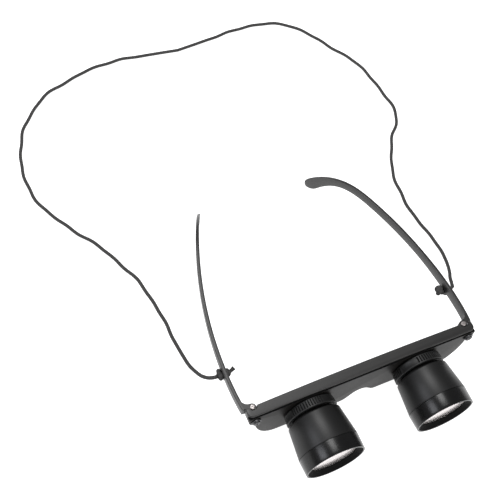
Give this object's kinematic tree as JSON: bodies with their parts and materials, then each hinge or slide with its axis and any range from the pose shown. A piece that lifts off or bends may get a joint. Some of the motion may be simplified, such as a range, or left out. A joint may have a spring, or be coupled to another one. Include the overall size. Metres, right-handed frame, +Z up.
{
  "type": "binocular glasses",
  "caption": "Head-worn binocular glasses: two short focusing telescopes in a spectacle bar with folding temples, ribbed focus rings and a neck cord.",
  "frame": {"origin": "middle of the underside, level with the plane that the hoods and the temple tips rest on, measured without the neck cord", "axes": "+X across the face, to the right in a view from the front, which is the wearer's left; +Y back towards the ears; +Z up. The names left and right are as seen from the front."},
  "size_m": [0.2434, 0.3055, 0.0328],
  "materials": {
    "frame_plastic": "satin black moulded plastic",
    "cover_plastic": "fine matte charcoal moulded plastic",
    "barrel_plastic": "satin black with a soft sheen",
    "hood_gloss": "glossy black",
    "ring_plastic": "satin black with moulded ribs",
    "inner_plastic": "dull black against stray light",
    "lens_glass": "polished, lightly coated",
    "hinge_steel": "bright turned steel",
    "black_screw": "blackened steel",
    "cord_black": "round braided black cord"
  },
  "bodies": {
    "front": {"frame": "frame_plastic", "front_cover": "cover_plastic", "cover_screw_left": "black_screw", "bridge_screw_left": "black_screw", "guide_tube_left": "inner_plastic", "eye_lens_left": "lens_glass", "eye_ring_left": "frame_plastic", "neck_cord_left": "cord_black", "cover_screw_right": "black_screw", "bridge_screw_right": "black_screw", "guide_tube_right": "inner_plastic", "eye_lens_right": "lens_glass", "eye_ring_right": "frame_plastic", "neck_cord_right": "cord_black"},
    "left_focus_ring": {"focus_ring_left": "ring_plastic"},
    "left_barrel": {"barrel_left": "barrel_plastic", "key_stud_left": "hinge_steel", "lens_spacer_left": "inner_plastic", "objective_lens_left": "lens_glass", "hood_ring_left": "hood_gloss"},
    "left_temple": {"temple_left": "frame_plastic", "hinge_screw_left": "hinge_steel", "cord_knot_left": "cord_black"},
    "right_focus_ring": {"focus_ring_right": "ring_plastic"},
    "right_barrel": {"barrel_right": "barrel_plastic", "key_stud_right": "hinge_steel", "lens_spacer_right": "inner_plastic", "objective_lens_right": "lens_glass", "hood_ring_right": "hood_gloss"},
    "right_temple": {"temple_right": "frame_plastic", "hinge_screw_right": "hinge_steel", "cord_knot_right": "cord_black"}
  },
  "joints": [
    {"name": "left_temple_fold", "type": "hinge", "parent": "front", "child": "left_temple", "pos_m": [-0.0619, -0.04603, 0.0264], "axis": [0, 0, -1], "range_deg": [0, 77]},
    {"name": "right_temple_fold", "type": "hinge", "parent": "front", "child": "right_temple", "pos_m": [0.0619, -0.04603, 0.0264], "axis": [0, 0, 1], "range_deg": [0, 57]},
    {"name": "left_focus_turn", "type": "hinge", "parent": "front", "child": "left_focus_ring", "pos_m": [-0.032, -0.05513, 0.0164], "axis": [0, -1, 0], "range_deg": [-41, 141]},
    {"name": "left_barrel_slide", "type": "slide", "parent": "front", "child": "left_barrel", "axis": [0, -1, 0], "range_m": [-0.001, 0.0035]},
    {"name": "right_focus_turn", "type": "hinge", "parent": "front", "child": "right_focus_ring", "pos_m": [0.032, -0.05513, 0.0164], "axis": [0, -1, 0], "range_deg": [-41, 141]},
    {"name": "right_barrel_slide", "type": "slide", "parent": "front", "child": "right_barrel", "axis": [0, -1, 0], "range_m": [-0.001, 0.0035]}
  ],
  "couplings": [
    {"joint": "left_focus_turn", "follows": "left_barrel_slide", "rad_per_m": 698.13},
    {"joint": "right_focus_turn", "follows": "right_barrel_slide", "rad_per_m": 698.13}
  ]
}
